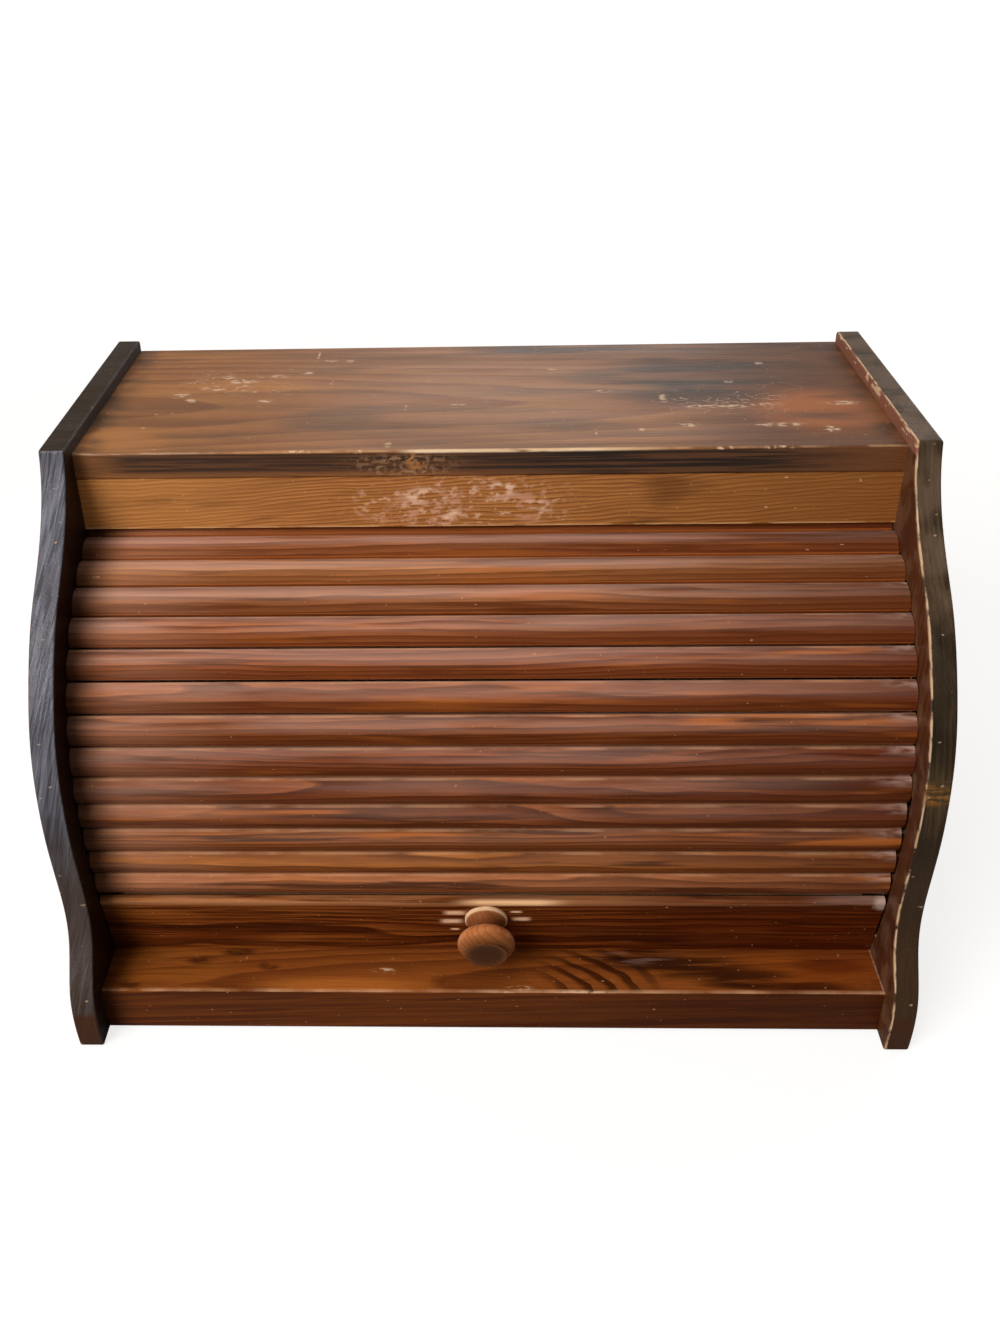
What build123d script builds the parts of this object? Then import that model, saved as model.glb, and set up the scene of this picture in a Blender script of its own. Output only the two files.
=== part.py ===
from math import cos, degrees, pi, radians, sin, sqrt
import os

from build123d import *

# Roll top bread box of dark stained pine. Lengths are millimetres, +X is the
# right-hand side seen from the front, +Y the back, +Z up. The origin is the
# centre of the footprint, on the surface that the box stands on.

# Case
inner_width = 450.0
side_thickness = 14.0
side_rise = 7.2
case_back = 146.25
lid_line_y = -15.75
side_front_at_top = -26.75
top_board_thickness = 15.6
valance_thickness = 12.0
valance_height = 30.6
back_board_thickness = 10.0
sill_front = -131.45
sill_back = -78.0
sill_top = 31.0
sill_underside = 0.8
bottom_board_thickness = 12.0
bottom_board_drop = 0.4
corner_round = 2.0
edge_round = 1.2
sill_edge_round = 1.5

# Front edge of a side panel, from below its top corner down to the foot, as
# the points (Y, Z) that its flowing curve runs through.
side_curve = [
    (-35.8, 302.5),
    (-56.2, 278.4),
    (-82.4, 255.6),
    (-103.0, 229.2),
    (-118.3, 199.8),
    (-125.6, 168.0),
    (-127.2, 136.0),
    (-125.0, 100.0),
    (-128.6, 67.0),
    (-143.4, 39.5),
    (-146.2, 20.0),
    (-144.75, 0.0),
]

# Line that the cloth on the back of the lid follows, from the sill upward: an
# arc behind the lift rail, three arcs up the front, over the top and down the
# back, and a last arc behind the compartment.
track_foot = (-90.9, 33.0)
track_lean = 6.35
rail_height = 50.0
rail_bend_radius = 290.0
belly_radius = 600.0
front_radius = 120.0
back_radius = 112.0
tail_radius = 200.0
tail_length = 50.0

# Lid
slat_count = 15
slat_pitch = 17.3
slat_gap = 0.9
slat_edge_height = 3.3
slat_crest_height = 7.0
rail_thickness = 6.6
rail_foot_gap = 0.3
rail_head_gap = 1.2
rail_back_bevel = 2.6
rail_shoulder_round = 3.0
side_gap = 0.4
tongue_reach = 4.4
tongue_width = 9.0
tongue_thickness = 2.4
groove_depth = 5.0
cloth_thickness = 0.8
cloth_margin = 12.0
rail_foot_spare = 3.0
rail_cloth_lap = 9.0
lid_run_gap = 1.6

# Groove, as distances out from the cloth line: in front, where the lift rail
# swings a little forward, over the top, where it swings a little inward, and
# down the back.
low_groove = (-0.8, 8.0)
high_groove = (-7.5, 3.9)
back_groove = (-3.0, 3.9)
groove_start = 15.0
low_groove_end = 126.0
high_groove_start = 102.0
high_groove_end = 300.0
back_groove_start = 284.0

# Knob and its screw
knob_offset = -1.5
knob_rise = 6.5
knob_flange_radius = 12.3
knob_flange_height = 1.4
knob_neck_radius = 8.8
knob_head_radius = 16.4
knob_length = 24.2
screw_radius = 2.0
screw_length = 22.0
screw_head_radius = 4.2
screw_head_height = 2.4
screw_slot_width = 1.0
screw_slot_depth = 0.9
screw_play = 0.05

# Nails
nail_radius = 1.0
nail_length = 34.0
nail_head_radius = 1.7
nail_head_height = 1.2
nail_play = 0.05
nail_inset = 12.0

half_width = inner_width / 2
outer_half_width = half_width + side_thickness
back_board_front = case_back - back_board_thickness
bottom_board_top = sill_top - bottom_board_drop
slat_width = slat_pitch - slat_gap

rail_bend = rail_height / rail_bend_radius
belly_length = belly_radius * radians(track_lean)
front_length = front_radius * pi / 2
back_length = back_radius * pi / 2
track_pieces = [
    (rail_height, rail_bend_radius),
    (belly_length, belly_radius),
    (front_length, front_radius),
    (back_length, back_radius),
    (tail_length, tail_radius),
]
track_joints = [rail_height]
for piece_length, piece_radius in track_pieces[1:]:
    track_joints.append(track_joints[-1] + piece_length)


def track_place(distance):
    """The point (Y, Z) and the heading in radians at a distance up the track."""
    y, z = track_foot
    heading = radians(90 + track_lean) + rail_bend
    left = distance
    for length, radius in track_pieces:
        step = left if left <= length or radius == tail_radius else length
        new_heading = heading - step / radius
        y += radius * (sin(heading) - sin(new_heading))
        z += radius * (cos(new_heading) - cos(heading))
        heading = new_heading
        left -= step
        if left <= 0:
            break
    return y, z, heading


def beside_track(distance, offset):
    """The point an offset outward from the track, measured square to it."""
    y, z, heading = track_place(distance)
    return (y - offset * sin(heading), z + offset * cos(heading))


def along_track(sketch, distance):
    """A sketch in lid directions, with its +X up the track and its +Y outward."""
    y, z, heading = track_place(distance)
    return Pos(y, z) * Rot(0, 0, degrees(heading)) * sketch


def across(sketch, x_start, x_end):
    """A sketch of (Y, Z) pushed out along X from x_start to x_end."""
    return Pos(x_start, 0, 0) * extrude(Plane.YZ * sketch, amount=x_end - x_start)


def board(y_start, y_end, z_start, z_end):
    """The cross section of a straight board that runs across the case."""
    return make_face(
        Polyline(
            (y_start, z_start),
            (y_end, z_start),
            (y_end, z_end),
            (y_start, z_end),
            close=True,
        )
    )


def groove_band(start, end, inner, outer):
    """The groove's outline between two distances up the track."""
    stops = [start] + [s for s in track_joints if start < s < end] + [end]
    edges = []
    for offset in (inner, outer):
        for a, b in zip(stops, stops[1:]):
            arc_points = [beside_track(s, offset) for s in (a, (a + b) / 2, b)]
            edges.append(ThreePointArc(*arc_points))
    for stop in (start, end):
        edges.append(Line(beside_track(stop, inner), beside_track(stop, outer)))
    return make_face(edges)


def nail_shape(play):
    """A nail driven along -X, its head's top at the origin."""
    head = Cylinder(
        nail_head_radius + play,
        nail_head_height,
        rotation=(0, 90, 0),
        align=(Align.CENTER, Align.CENTER, Align.MAX),
    )
    shank = Cylinder(
        nail_radius + play,
        nail_length + play,
        rotation=(0, 90, 0),
        align=(Align.CENTER, Align.CENTER, Align.MAX),
    )
    return head + shank


def at_both_ends(shape, places):
    """A nail shape at each (Y, Z) of places, driven in from both sides."""
    copies = []
    for y, z in places:
        right = Pos(outer_half_width, y, z) * shape
        copies.append(right)
        copies.append(mirror(right, about=Plane.YZ))
    return copies


track_arc_y = track_place(rail_height + belly_length)[0] + front_radius
track_arc_z = track_place(rail_height + belly_length)[1]
run_radius = front_radius + slat_crest_height + lid_run_gap


def above_lid(y):
    """The height at which the crests of the slats clear a board at y."""
    return track_arc_z + sqrt(run_radius**2 - (y - track_arc_y) ** 2)


valance_front_z = above_lid(lid_line_y)
top_board_underside = valance_front_z + valance_height
top_board_height = top_board_underside + top_board_thickness
side_height = top_board_height + side_rise


def spread(start, end, count):
    """Evenly spaced places, the outer ones a nail's inset from the ends."""
    first = start + nail_inset
    step = (end - start - 2 * nail_inset) / (count - 1)
    return [first + step * number for number in range(count)]


# Nail places, as (Y, Z) on the outer faces of the side panels
top_board_middle = top_board_height - top_board_thickness / 2
bottom_board_middle = bottom_board_top - bottom_board_thickness / 2
sill_middle = (sill_top + sill_underside) / 2
valance_middle = lid_line_y + valance_thickness / 2
back_board_middle = back_board_front + back_board_thickness / 2
nail_places = {
    "top_board_nails": [(y, top_board_middle) for y in spread(lid_line_y, case_back, 3)],
    "valance_nails": [(valance_middle, top_board_underside - valance_height / 2)],
    "front_sill_nails": [(y, sill_middle) for y in spread(sill_front, sill_back, 2)],
    "bottom_board_nails": [
        (y, bottom_board_middle) for y in spread(sill_back, back_board_front, 3)
    ],
    "back_board_nails": [
        (back_board_middle, z) for z in spread(bottom_board_top, top_board_underside, 3)
    ],
}
nail_groups = {
    node: at_both_ends(nail_shape(0.0), places) for node, places in nail_places.items()
}
nail_holes = []
for places in nail_places.values():
    nail_holes += at_both_ends(nail_shape(nail_play), places)

# Side panels: one board each, with the groove for the lid cut in the inner face
side_outline = make_face(
    [
        Spline((side_front_at_top, side_height), *side_curve),
        Line(side_curve[-1], (case_back, 0)),
        Line((case_back, 0), (case_back, side_height)),
        Line((case_back, side_height), (side_front_at_top, side_height)),
    ]
)
side_outline = fillet(side_outline.vertices(), corner_round)
side_blank = across(side_outline, half_width, outer_half_width)
outer_edges = side_blank.edges().filter_by(
    lambda edge: abs(edge.center().X - outer_half_width) < 0.01
    or abs(edge.center().X - half_width) < 0.01
)
side_blank = fillet(outer_edges, edge_round)
track_end = track_joints[-1]
groove = across(
    groove_band(groove_start, low_groove_end, *low_groove)
    + groove_band(high_groove_start, high_groove_end, *high_groove)
    + groove_band(back_groove_start, track_end, *back_groove),
    half_width,
    half_width + groove_depth,
)
right_side = side_blank - groove
left_side = mirror(right_side, about=Plane.YZ)

# Boards between the side panels
top_section = board(lid_line_y, case_back, top_board_underside, top_board_height)
top_board = across(top_section, -half_width, half_width)
top_front_edges = top_board.edges().filter_by(Axis.X).group_by(Axis.Y)[0]
top_board = fillet(top_front_edges, edge_round)

valance_back = lid_line_y + valance_thickness
valance_section = make_face(
    Polyline(
        (lid_line_y, valance_front_z),
        (valance_back, above_lid(valance_back)),
        (valance_back, top_board_underside),
        (lid_line_y, top_board_underside),
        close=True,
    )
)
valance_board = across(valance_section, -half_width, half_width)

sill_section = board(sill_front, sill_back, sill_underside, sill_top)
front_sill = across(sill_section, -half_width, half_width)
sill_front_edges = front_sill.edges().filter_by(Axis.X).group_by(Axis.Y)[0]
front_sill = fillet(sill_front_edges, sill_edge_round)

bottom_section = board(
    sill_back, back_board_front, bottom_board_top - bottom_board_thickness, bottom_board_top
)
bottom_board = across(bottom_section, -half_width, half_width)

back_section = board(back_board_front, case_back, sill_underside, top_board_underside)
back_board = across(back_section, -half_width, half_width)

case_boards = {
    "left_side_panel": left_side,
    "right_side_panel": right_side,
    "top_board": top_board,
    "valance_board": valance_board,
    "front_sill": front_sill,
    "bottom_board": bottom_board,
    "back_board": back_board,
}
parts = {node: blank - nail_holes for node, blank in case_boards.items()}
for node, nails in nail_groups.items():
    parts[node] = Compound(children=nails)

# Slats: a shallow bead with a short tongue at each end, and cloth glued behind
lid_half_width = half_width - side_gap
tongue_end = half_width + tongue_reach
cloth_half_width = half_width - cloth_margin
half_slat = slat_width / 2
bead = make_face(
    Polyline(
        (half_slat, slat_edge_height),
        (half_slat, 0),
        (-half_slat, 0),
        (-half_slat, slat_edge_height),
    )
    + ThreePointArc(
        (-half_slat, slat_edge_height), (0, slat_crest_height), (half_slat, slat_edge_height)
    )
)
tongue = Rectangle(tongue_width, tongue_thickness, align=(Align.CENTER, Align.MIN))
cloth = Rectangle(slat_width, cloth_thickness, align=(Align.CENTER, Align.MAX))
for number in range(1, slat_count + 1):
    middle = rail_height + (number - 0.5) * slat_pitch
    body = across(along_track(bead, middle), -lid_half_width, lid_half_width)
    ends = across(along_track(tongue, middle), -tongue_end, tongue_end)
    parts[f"slat_{number:02d}"] = body + ends
    parts[f"cloth_{number:02d}"] = across(
        along_track(cloth, middle), -cloth_half_width, cloth_half_width
    )

# Lift rail: a flat board with a rounded upper shoulder, its foot cut level
half_rail = rail_height / 2
rail_head = half_rail - rail_head_gap
rail_low_end = -half_rail - rail_foot_spare
rail_outline = make_face(
    [
        Line((rail_low_end, 0), (rail_low_end, rail_thickness)),
        Line((rail_low_end, rail_thickness), (rail_head - rail_shoulder_round, rail_thickness)),
        RadiusArc(
            (rail_head - rail_shoulder_round, rail_thickness),
            (rail_head, rail_thickness - rail_shoulder_round),
            rail_shoulder_round,
        ),
        Line((rail_head, rail_thickness - rail_shoulder_round), (rail_head, rail_back_bevel)),
        Line((rail_head, rail_back_bevel), (rail_head - rail_back_bevel, 0)),
        Line((rail_head - rail_back_bevel, 0), (rail_low_end, 0)),
    ]
)
rail_foot_z = sill_top + rail_foot_gap
below_foot = board(sill_front, case_back, 0, rail_foot_z)
rail_section = along_track(rail_outline, half_rail) - below_foot
lift_rail = across(rail_section, -lid_half_width, lid_half_width)
lift_rail += across(along_track(tongue, half_rail), -tongue_end, tongue_end)

rail_cloth_section = Pos(rail_head - rail_back_bevel, 0) * Rectangle(
    rail_cloth_lap, cloth_thickness, align=(Align.MAX, Align.MAX)
)
parts["cloth_rail"] = across(
    along_track(rail_cloth_section, half_rail), -cloth_half_width, cloth_half_width
)

# Knob: a turned profile on a flange, screwed on from behind the lift rail
rail_y, rail_z, rail_heading = track_place(half_rail)
knob_y = rail_y + knob_rise * cos(rail_heading)
knob_z = rail_z + knob_rise * sin(rail_heading)
knob_plane = Plane(
    origin=(knob_offset, knob_y, knob_z),
    x_dir=(1, 0, 0),
    z_dir=(0, -sin(rail_heading), cos(rail_heading)),
)
knob_outline = make_face(
    [
        Line((0, 0), (knob_flange_radius, 0)),
        Line((knob_flange_radius, 0), (knob_flange_radius, knob_flange_height)),
        Spline(
            (knob_flange_radius, knob_flange_height),
            (0.86 * knob_flange_radius, 0.13 * knob_length),
            (knob_neck_radius, 0.27 * knob_length),
            (1.16 * knob_neck_radius, 0.41 * knob_length),
            (0.91 * knob_head_radius, 0.55 * knob_length),
            (knob_head_radius, 0.69 * knob_length),
            (0.91 * knob_head_radius, 0.84 * knob_length),
            (0.66 * knob_head_radius, 0.96 * knob_length),
            (0, knob_length),
            tangents=[(-1, 1), (-1, 0)],
        ),
        Line((0, knob_length), (0, 0)),
    ]
)
knob_blank = revolve(Plane.XZ * knob_outline, axis=Axis.Z)
knob_blank = knob_plane * Pos(0, 0, rail_thickness) * knob_blank


def screw_shape(play):
    """The knob's screw, its head below the origin and its shank along +Z."""
    head = Cylinder(
        screw_head_radius, screw_head_height, align=(Align.CENTER, Align.CENTER, Align.MAX)
    )
    shank = Cylinder(
        screw_radius + play, screw_length + play, align=(Align.CENTER, Align.CENTER, Align.MIN)
    )
    slot = Pos(0, 0, -screw_head_height) * Box(
        2 * screw_head_radius, screw_slot_width, 2 * screw_slot_depth
    )
    return knob_plane * (head + shank - slot)


parts["lift_rail"] = lift_rail - screw_shape(screw_play)
parts["knob"] = knob_blank - screw_shape(screw_play)
parts["knob_screw"] = screw_shape(0.0)

os.makedirs("parts", exist_ok=True)
for name, shape in parts.items():
    shape.label = name
    export_step(shape, f"parts/{name}.step")
print(len(parts), "pieces written")
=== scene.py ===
# %% [markdown]
# A roll top bread box of dark stained pine. The boards, the slats and the knob come from the
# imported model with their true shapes, so this lesson is about their finish: how stained pine,
# worn varnish, bare wood and old canvas are drawn with nodes that read real distances.

# %% Load the model
from math import atan2, cos, radians, sin

import bpy
from mathutils import Matrix, Vector

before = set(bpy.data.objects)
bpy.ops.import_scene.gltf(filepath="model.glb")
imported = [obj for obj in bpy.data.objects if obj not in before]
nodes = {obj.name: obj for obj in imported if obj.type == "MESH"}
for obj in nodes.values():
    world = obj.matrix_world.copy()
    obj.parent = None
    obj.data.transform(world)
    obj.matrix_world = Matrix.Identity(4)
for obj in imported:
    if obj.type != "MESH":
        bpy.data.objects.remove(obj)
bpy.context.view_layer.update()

# %% [markdown]
# Every finish starts from a few colours, which are written as they look on a screen. Blender
# mixes light in linear values, so one function turns a hex colour into those. A second
# function adds a node with its settings and links, so that a finish reads as a short list.

# %% Colours and nodes


def linear(code):
    """The linear colour of an sRGB hex value."""
    parts = [int(code[i : i + 2], 16) / 255 for i in (1, 3, 5)]
    return [c / 12.92 if c <= 0.04045 else ((c + 0.055) / 1.055) ** 2.4 for c in parts] + [1]


def add(tree, kind, inputs, **settings):
    """Adds a node, sets its properties, and fills or links its inputs by name or number."""
    made = tree.nodes.new(kind)
    for key, value in settings.items():
        setattr(made, key, value)
    for key, value in inputs.items():
        if isinstance(value, bpy.types.NodeSocket):
            tree.links.new(value, made.inputs[key])
        else:
            made.inputs[key].default_value = value
    return made


print("dark stain is", [round(c, 3) for c in linear("#3A1B0C")])

# %% [markdown]
# A finish is kept as a small record while it is built: its node tree, the point on the whole
# object, the same point on the board's own axes, and the colour so far. Marks then come down
# to one question: where is this point, and does the mark cover it? Each answer is a mask, 0
# for no and 1 for yes. Masks are multiplied, so a mark lies where all of its masks agree.
# Places are in metres. On the whole object X runs to the right, Y to the back and Z up.

# %% Masks by place
X, Y, Z = 0, 1, 2


def beyond(wood, axis, start, end, where="whole"):
    """Rises from 0 at start to 1 at end along an axis."""
    along = add(wood["tree"], "ShaderNodeSeparateXYZ", {0: wood[where]}).outputs[axis]
    limits = {"Value": along, "From Min": start, "From Max": end}
    rise = add(wood["tree"], "ShaderNodeMapRange", limits, interpolation_type="SMOOTHSTEP")
    return rise.outputs["Result"]


def stripe(wood, axis, place, half_width, where="whole"):
    """1 in a thin stripe at a place on an axis, fading to 0 a half width away."""
    full = half_width * 0.3
    before = beyond(wood, axis, place - half_width, place - full, where)
    after = beyond(wood, axis, place + half_width, place + full, where)
    both = add(wood["tree"], "ShaderNodeMath", {0: before, 1: after}, operation="MULTIPLY")
    return both.outputs[0]


def spot(wood, centre, size, where="whole"):
    """1 about a place, fading to 0 at the edge of an ellipsoid of that half size."""
    tree = wood["tree"]
    way = {0: wood[where], 1: centre}
    way = add(tree, "ShaderNodeVectorMath", way, operation="SUBTRACT").outputs[0]
    way = add(tree, "ShaderNodeVectorMath", {0: way, 1: size}, operation="DIVIDE").outputs[0]
    far = add(tree, "ShaderNodeVectorMath", {0: way}, operation="LENGTH").outputs["Value"]
    limits = {"Value": far, "From Min": 1.0, "From Max": 0.35}
    fade = add(tree, "ShaderNodeMapRange", limits, interpolation_type="SMOOTHSTEP")
    return fade.outputs["Result"]


print("masks by place ready")

# %% [markdown]
# Wear is never even, so two more masks don't go by place. One breaks a mark into patches with
# a noise, whose lumps are counted per metre, and the other tells which way the surface faces.

# %% Masks by chance and by direction


def patches(wood, per_metre, low, high, where="own", seed=0.0, detail=2.5):
    """Uneven patches with that many lumps per metre on X, Y and Z: 0 below low, 1 above high."""
    tree = wood["tree"]
    place = {0: wood[where], 1: per_metre, 2: (seed, seed, seed)}
    place = add(tree, "ShaderNodeVectorMath", place, operation="MULTIPLY_ADD").outputs[0]
    cloud = {"Vector": place, "Scale": 1.0, "Detail": detail}
    cloud = add(tree, "ShaderNodeTexNoise", cloud).outputs["Fac"]
    limits = {"Value": cloud, "From Min": low, "From Max": high}
    rise = add(tree, "ShaderNodeMapRange", limits, interpolation_type="SMOOTHSTEP")
    return rise.outputs["Result"]


def facing(wood, axis, start, end):
    """Rises from 0 where the normal's part along an axis is start to 1 where it is end."""
    tree = wood["tree"]
    normal = add(tree, "ShaderNodeTexCoord", {}).outputs["Normal"]
    part = add(tree, "ShaderNodeSeparateXYZ", {0: normal}).outputs[axis]
    part = add(tree, "ShaderNodeMath", {0: part}, operation="ABSOLUTE").outputs[0]
    limits = {"Value": part, "From Min": start, "From Max": end}
    return add(tree, "ShaderNodeMapRange", limits).outputs["Result"]


print("masks by chance and by direction ready")

# %% [markdown]
# Paint and wear use those masks. Stain and dirt only change the colour. Where the varnish is
# gone the wood is paler and also duller, so wear keeps its mask for the gloss as well.

# %% Paint and wear


def paint(wood, colour, share, *masks):
    """Lays a colour over the finish where all the masks are 1, at most by the share."""
    mask = share
    for one in masks:
        product = add(wood["tree"], "ShaderNodeMath", {0: one, 1: mask}, operation="MULTIPLY")
        mask = product.outputs[0]
    mix = {0: mask, 6: wood["colour"], 7: linear(colour)}
    wood["colour"] = add(wood["tree"], "ShaderNodeMix", mix, data_type="RGBA").outputs[2]
    return mask


def wear(wood, colour, share, *masks):
    """Shows bare wood where all the masks are 1."""
    mask = paint(wood, colour, share, *masks)
    either = {0: wood["bare"], 1: mask}
    either = add(wood["tree"], "ShaderNodeMath", either, operation="MAXIMUM")
    wood["bare"] = either.outputs[0]


def scratches(wood, colour, share, per_metre, width, *masks, seed=0.0):
    """Thin wandering lines: the level line of a slow noise, as wide as the width in its value."""
    level, full = 0.5, width * 0.4
    above = patches(wood, per_metre, level - width, level - full, seed=seed, detail=1.5)
    below = patches(wood, per_metre, level + width, level + full, seed=seed, detail=1.5)
    wear(wood, colour, share, above, below, *masks)


print("paint and wear ready")

# %% [markdown]
# Stained pine. A board shows the year rings of the tree cut open: wide soft early wood that
# fades into a thin dark late line and then stops sharply. Rings are circles about the heart
# of the tree, so a ring pattern about a long axis, tilted and shaken a little, gives straight
# lines on one board and arched ones on another. Stain gathers in blotches and in the fine
# fibres, which are about a millimetre apart here so that they still show in the picture.

# %% Stained pine
texture_ring = 0.31416  # the wave texture draws a ring every so many metres at scale 1


def blank(name):
    """A new material with an empty node tree."""
    made = bpy.data.materials.new(name)
    made.use_nodes = True
    made.node_tree.nodes.clear()
    return made, made.node_tree


def pine(
    name, place, turn, heart, ring, tones, blotch, blotch_share=0.5, fibre=0.4, lumps=(4, 22, 22)
):
    """Starts stained pine on a board's own axes, with X along the grain and that ring spacing.

    The heart says how far the board was cut from the heart of the tree, the tones are those of
    early, middle and late wood, and the rings are shaken by that many lumps per metre.
    """
    made, tree = blank(name)
    whole = add(tree, "ShaderNodeTexCoord", {}).outputs["Object"]
    axes = {"Vector": whole, "Location": place, "Rotation": turn}
    own = add(tree, "ShaderNodeMapping", axes, vector_type="TEXTURE").outputs[0]
    log = add(tree, "ShaderNodeVectorMath", {0: own, 1: heart}, operation="ADD").outputs[0]
    slow = {0: log, 1: lumps}
    slow = add(tree, "ShaderNodeVectorMath", slow, operation="MULTIPLY").outputs[0]
    shake = {"Vector": slow, "Scale": 1.0, "Detail": 3.0}
    shake = add(tree, "ShaderNodeTexNoise", shake).outputs["Color"]
    sway = {0: shake, 1: (0, 0.014, 0.014), 2: log}
    grain = add(tree, "ShaderNodeVectorMath", sway, operation="MULTIPLY_ADD").outputs[0]
    wave = {"Vector": grain, "Scale": texture_ring / ring, "Distortion": 0.0}
    shape = {"wave_type": "RINGS", "rings_direction": "X", "wave_profile": "SAW"}
    rings = add(tree, "ShaderNodeTexWave", wave, **shape).outputs["Fac"]
    shade = add(tree, "ShaderNodeValToRGB", {"Fac": rings})
    early, middle, late = tones
    stops = shade.color_ramp.elements
    stops[0].color = linear(early)
    stops[1].color = linear(late)
    stops[1].position = 0.93
    for position in (0.55, 0.99):
        stops.new(position).color = linear(middle)
    wood = {"tree": tree, "material": made, "whole": whole, "own": own, "log": log}
    wood["colour"], wood["bare"] = shade.outputs[0], 0.0
    wood["fibres"] = patches(wood, (40, 760, 760), 0.38, 0.68, "log", detail=3.0)
    wood["clouds"] = patches(wood, (5, 34, 34), 0.35, 0.7, "log")
    paint(wood, blotch, blotch_share, patches(wood, (5, 34, 34), 0.48, 0.72, "log"))
    paint(wood, late, fibre, wood["fibres"])
    relief = {0: rings, 1: -0.4, 2: wood["fibres"]}
    wood["height"] = add(tree, "ShaderNodeMath", relief, operation="MULTIPLY_ADD").outputs[0]
    return wood


print("pine ready")

# %% [markdown]
# The varnish is a satin one. It is a little glossier where it is thick and a little duller
# where it is thin, and bare wood doesn't shine. Old varnish is amber, and its shine takes that
# colour on the darkest boards. The grain is felt through it as a relief of 0.2 mm.

# %% Varnish
bare_roughness = 0.75


def varnish(wood, gloss, shine, *pieces, amber="#FFFFFF"):
    """Ends the finish with worn satin varnish, thinner on the clouds, and puts it on the pieces."""
    tree = wood["tree"]
    limits = {"Value": wood["clouds"], "To Min": gloss - 0.06, "To Max": gloss + 0.08}
    satin = add(tree, "ShaderNodeMapRange", limits).outputs["Result"]
    rough = {0: wood["bare"], 2: satin, 3: bare_roughness}
    rough = add(tree, "ShaderNodeMix", rough, data_type="FLOAT").outputs[0]
    relief = {"Height": wood["height"], "Strength": 0.5, "Distance": 0.0002}
    relief = add(tree, "ShaderNodeBump", relief).outputs["Normal"]
    skin = {"Base Color": wood["colour"], "Roughness": rough, "IOR": 1.5, "Normal": relief}
    skin.update({"Specular IOR Level": shine, "Specular Tint": linear(amber)})
    skin = add(tree, "ShaderNodeBsdfPrincipled", skin)
    add(tree, "ShaderNodeOutputMaterial", {"Surface": skin.outputs[0]})
    for piece in pieces:
        nodes[piece].material_slots[0].material = wood["material"]
    print(wood["material"].name, "on", *pieces)


print("varnish ready")

# %% [markdown]
# The top board has the widest face, warm brown with soft orange bands, and dark smoky streaks
# round a knot on the right. Its front edge is stained almost black but for its two ends.

# %% Top board
top_face, board_front = 0.319, -0.0157  # the top board and the valance end in front alike
top = pine(
    "stained_pine_top",
    place=(0, 0.065, 0.311),
    turn=(0, radians(3), 0),
    heart=(0.02, 0.01, 0.045),
    ring=0.0075,
    tones=("#A66E3C", "#976034", "#86522C"),
    blotch="#5E4226",
    blotch_share=0.6,
    fibre=0.3,
)


def on_top(x, y, half_long, half_deep):
    """A spot on the top board's upper face."""
    return spot(top, (x, y, top_face), (half_long, half_deep, 0.02))


face = beyond(top, Z, 0.3186, top_face)
paint(top, "#BC7C42", 0.6, patches(top, (6, 34, 34), 0.48, 0.66), beyond(top, X, 0.02, -0.1))
paint(top, "#5A4026", 0.55, patches(top, (9, 26, 9), 0.54, 0.68, "whole", 0.4))
paint(top, "#5E4022", 0.4, patches(top, (4, 80, 80), 0.5, 0.66, seed=4.4, detail=3.0))
paint(top, "#532C12", 0.68, beyond(top, X, 0.08, 0.16))
paint(top, "#B4642A", 0.7, on_top(0.19, 0.035, 0.05, 0.04), patches(top, (9, 50, 9), 0.35, 0.6))
smoke = patches(top, (7, 75, 75), 0.4, 0.56, seed=1.3, detail=3.0)
for streak in (0.12, 0.085, 0.075, 0.06), (0.17, 0.125, 0.085, 0.035), (0.05, 0.14, 0.08, 0.025):
    paint(top, "#2E1C0E", 0.8, on_top(*streak), smoke)
knot = on_top(0.125, 0.072, 0.03, 0.016)
paint(top, "#2E1C0E", 0.6, knot, patches(top, (30, 150, 9), 0.35, 0.6))
# The top face is darker along the side panels, first the left one.
for share, start, end, low in (0.55, -0.205, -0.22, 0.35), (0.5, 0.208, 0.22, 0.4):
    dark_patches = patches(top, (50, 60, 50), low, 0.6)
    paint(top, "#33210F", share, face, beyond(top, X, start, end), dark_patches)
front_edge = beyond(top, Z, 0.3185, 0.3175), beyond(top, Y, -0.012, -0.0145)
but_ends = beyond(top, X, -0.222, -0.19), beyond(top, X, 0.2, 0.12)
paint(top, "#6A3C18", 0.6, *front_edge)
paint(top, "#2C1608", 0.92, *front_edge, *but_ends, beyond(top, Z, 0.3055, 0.3085))
print("top board stained")

# %% [markdown]
# Things were set down on the top and dragged off over its front, so it carries most of the
# scuffs. Each is a small spot that torn patches break up, and each row gives its middle and
# half its size. The spots lie just above the face, so that they stay off the front edge.

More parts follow.
